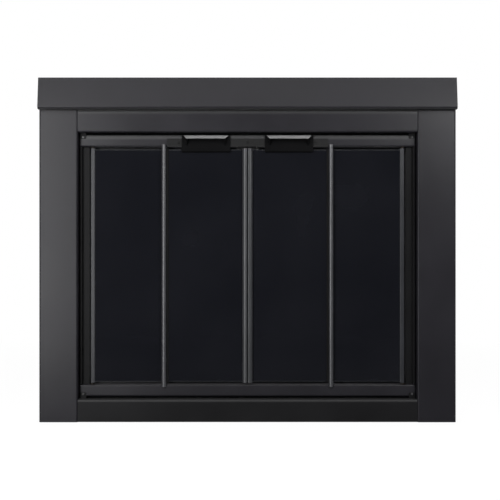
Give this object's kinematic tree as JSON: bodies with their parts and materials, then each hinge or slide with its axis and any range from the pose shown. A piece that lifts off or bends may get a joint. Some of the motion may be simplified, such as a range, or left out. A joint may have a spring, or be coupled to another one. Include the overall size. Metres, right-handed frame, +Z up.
{
  "type": "fireplace glass door",
  "caption": "Bi-fold fireplace glass door set: black steel surround with a hood, recessed door frame and smoked glass doors that fold outward on pivots and a top track.",
  "frame": {"origin": "on the hearth, under the middle of the bottom rail, at mid-depth of the surround", "axes": "+X to the right as the viewer sees the front, +Y into the fireplace, +Z up; the front faces -Y"},
  "size_m": [0.958, 0.14, 0.7915],
  "materials": {
    "surround_steel": "satin black powder coat on formed sheet steel",
    "frame_steel": "satin black powder coat on formed steel sections",
    "trim_steel": "satin black powder coat, a little glossier along its edges",
    "dark_steel": "matt black paint",
    "pull_steel": "satin black powder coat",
    "smoked_glass": "dark smoked tempered glass with polished edges",
    "glazing_strip": "black heat-proof glazing strip",
    "zinc_steel": "zinc-plated steel",
    "black_screws": "blackened steel screws",
    "magnet_plating": "nickel-plated magnet",
    "bush_bronze": "sintered bronze",
    "roller_plastic": "heat-proof plastic"
  },
  "bodies": {
    "surround": {"left_stile": "surround_steel", "right_stile": "surround_steel", "header_panel": "surround_steel", "bottom_rail": "surround_steel", "hood": "surround_steel", "hood_screws": "black_screws", "corner_angles": "zinc_steel", "corner_angle_screws": "zinc_steel", "top_track_bar": "frame_steel", "bottom_bar": "frame_steel", "left_jamb": "frame_steel", "right_jamb": "frame_steel", "gap_closers": "dark_steel", "corner_clips": "frame_steel", "clip_screws": "black_screws", "catch_strip": "dark_steel", "catch_strip_screws": "zinc_steel", "catch_magnets": "magnet_plating", "pivot_bushes": "bush_bronze", "lintel_brackets": "zinc_steel", "floor_brackets": "zinc_steel", "bracket_screws": "zinc_steel"},
    "left_outer_door": {"left_outer_glass": "smoked_glass", "left_outer_glazing": "glazing_strip", "left_pivot_trim": "trim_steel", "left_pivot_pins": "zinc_steel", "left_fold_trim": "trim_steel", "left_hinge_outer_leaves": "dark_steel", "left_hinge_pins": "zinc_steel"},
    "left_leading_door": {"left_leading_glass": "smoked_glass", "left_leading_glazing": "glazing_strip", "left_leading_fold_trim": "dark_steel", "left_edge_trim": "trim_steel", "left_hinge_leading_leaves": "dark_steel", "left_guide_bracket": "dark_steel", "left_guide_screw": "zinc_steel", "left_guide_pin": "zinc_steel", "left_guide_roller": "roller_plastic", "left_pull": "pull_steel", "left_pull_pad": "glazing_strip", "left_pull_screws": "zinc_steel"},
    "right_outer_door": {"right_outer_glass": "smoked_glass", "right_outer_glazing": "glazing_strip", "right_pivot_trim": "trim_steel", "right_pivot_pins": "zinc_steel", "right_fold_trim": "trim_steel", "right_hinge_outer_leaves": "dark_steel", "right_hinge_pins": "zinc_steel"},
    "right_leading_door": {"right_leading_glass": "smoked_glass", "right_leading_glazing": "glazing_strip", "right_leading_fold_trim": "dark_steel", "right_edge_trim": "trim_steel", "right_hinge_leading_leaves": "dark_steel", "right_guide_bracket": "dark_steel", "right_guide_screw": "zinc_steel", "right_guide_pin": "zinc_steel", "right_guide_roller": "roller_plastic", "right_pull": "pull_steel", "right_pull_pad": "glazing_strip", "right_pull_screws": "zinc_steel"}
  },
  "joints": [
    {"name": "left_outer_swing", "type": "hinge", "parent": "surround", "child": "left_outer_door", "pos_m": [-0.36, -0.0005, 0.35925], "axis": [0, 0, -1], "range_deg": [0, 80]},
    {"name": "left_fold", "type": "hinge", "parent": "left_outer_door", "child": "left_leading_door", "pos_m": [-0.191, 0.0058, 0.35925], "axis": [0, 0, 1], "range_deg": [0, 160]},
    {"name": "right_outer_swing", "type": "hinge", "parent": "surround", "child": "right_outer_door", "pos_m": [0.36, -0.0005, 0.35925], "axis": [0, 0, 1], "range_deg": [0, 80]},
    {"name": "right_fold", "type": "hinge", "parent": "right_outer_door", "child": "right_leading_door", "pos_m": [0.191, 0.0058, 0.35925], "axis": [0, 0, -1], "range_deg": [0, 160]}
  ],
  "couplings": [
    {"joint": "left_fold", "follows": "left_outer_swing", "ratio": 2},
    {"joint": "right_fold", "follows": "right_outer_swing", "ratio": 2}
  ]
}
